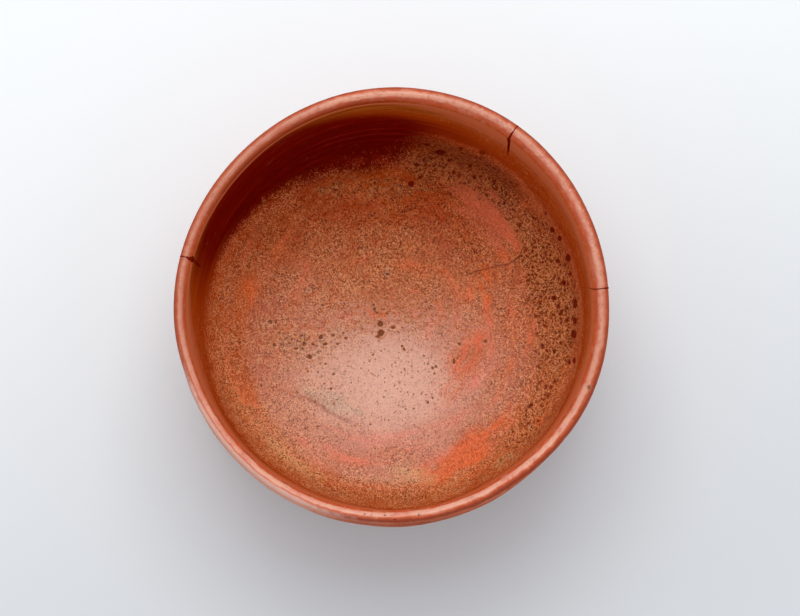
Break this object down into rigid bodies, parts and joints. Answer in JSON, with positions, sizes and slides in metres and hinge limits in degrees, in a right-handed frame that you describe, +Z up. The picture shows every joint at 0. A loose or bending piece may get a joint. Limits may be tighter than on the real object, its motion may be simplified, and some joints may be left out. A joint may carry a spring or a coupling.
{
  "type": "tea bowl",
  "caption": "Hand-formed red clay tea bowl with a soft speckled glaze, a low carved foot ring and cracks at the lip filled with dark lacquer.",
  "frame": {"origin": "on the table, in the middle of the standing ring", "axes": "+Z up out of the bowl's mouth; +X to the right and +Y to the back, away from the viewer"},
  "size_m": [0.1206, 0.1214, 0.0796],
  "materials": {
    "clay": "matte",
    "glaze": "satin",
    "lacquer": "satin"
  },
  "bodies": {
    "root": {"clay_body": "clay", "glaze_coat": "glaze", "foot_glaze": "glaze", "lacquer_back_right": "lacquer", "lacquer_left": "lacquer", "lacquer_right": "lacquer"}
  },
  "joints": []
}
